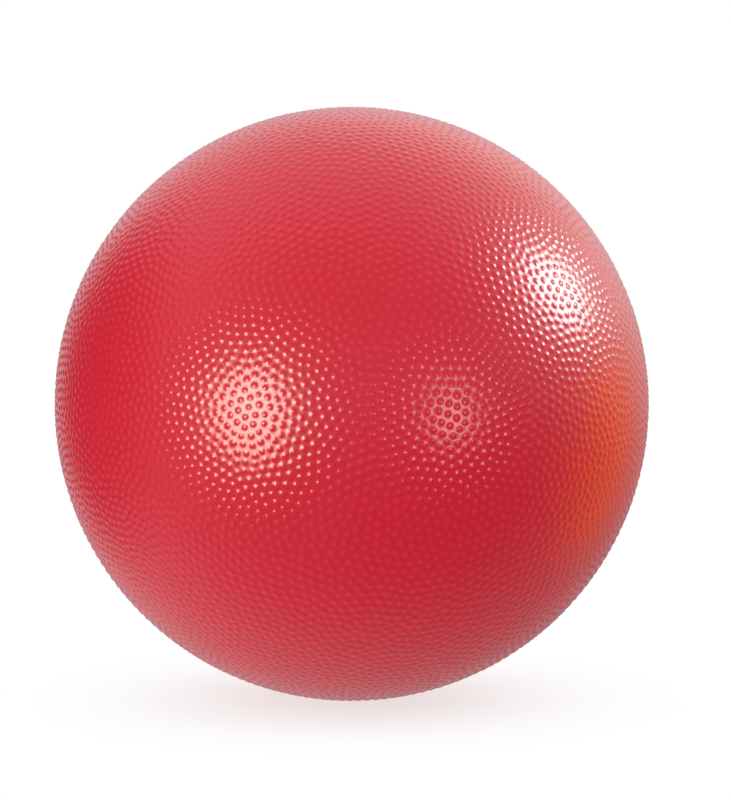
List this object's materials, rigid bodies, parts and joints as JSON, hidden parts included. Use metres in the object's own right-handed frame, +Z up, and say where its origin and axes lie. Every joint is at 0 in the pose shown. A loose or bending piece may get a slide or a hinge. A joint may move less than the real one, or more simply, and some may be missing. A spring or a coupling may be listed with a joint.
{
  "type": "playground ball",
  "caption": "Air-filled rubber playground ball with a red pebbled cover over an inner ply, a nylon winding and a bladder, and a flush needle valve.",
  "frame": {"origin": "centre of the ball", "axes": "+Y out of the ball through the inflating valve, square to the cover's mould parting plane; +Z up; the ball rests on the point at -Z"},
  "size_m": [0.2158, 0.216, 0.2158],
  "materials": {
    "red_cover_rubber": "satin",
    "inner_ply_rubber": "matte",
    "nylon_thread": "matte",
    "bladder_rubber": "satin",
    "valve_housing_rubber": "satin",
    "valve_core_rubber": "satin"
  },
  "bodies": {
    "root": {"cover_front_half": "red_cover_rubber", "cover_back_half": "red_cover_rubber", "inner_ply_front_half": "inner_ply_rubber", "inner_ply_back_half": "inner_ply_rubber", "nylon_winding": "nylon_thread", "bladder": "bladder_rubber", "valve_housing": "valve_housing_rubber", "valve_core": "valve_core_rubber"}
  },
  "joints": []
}
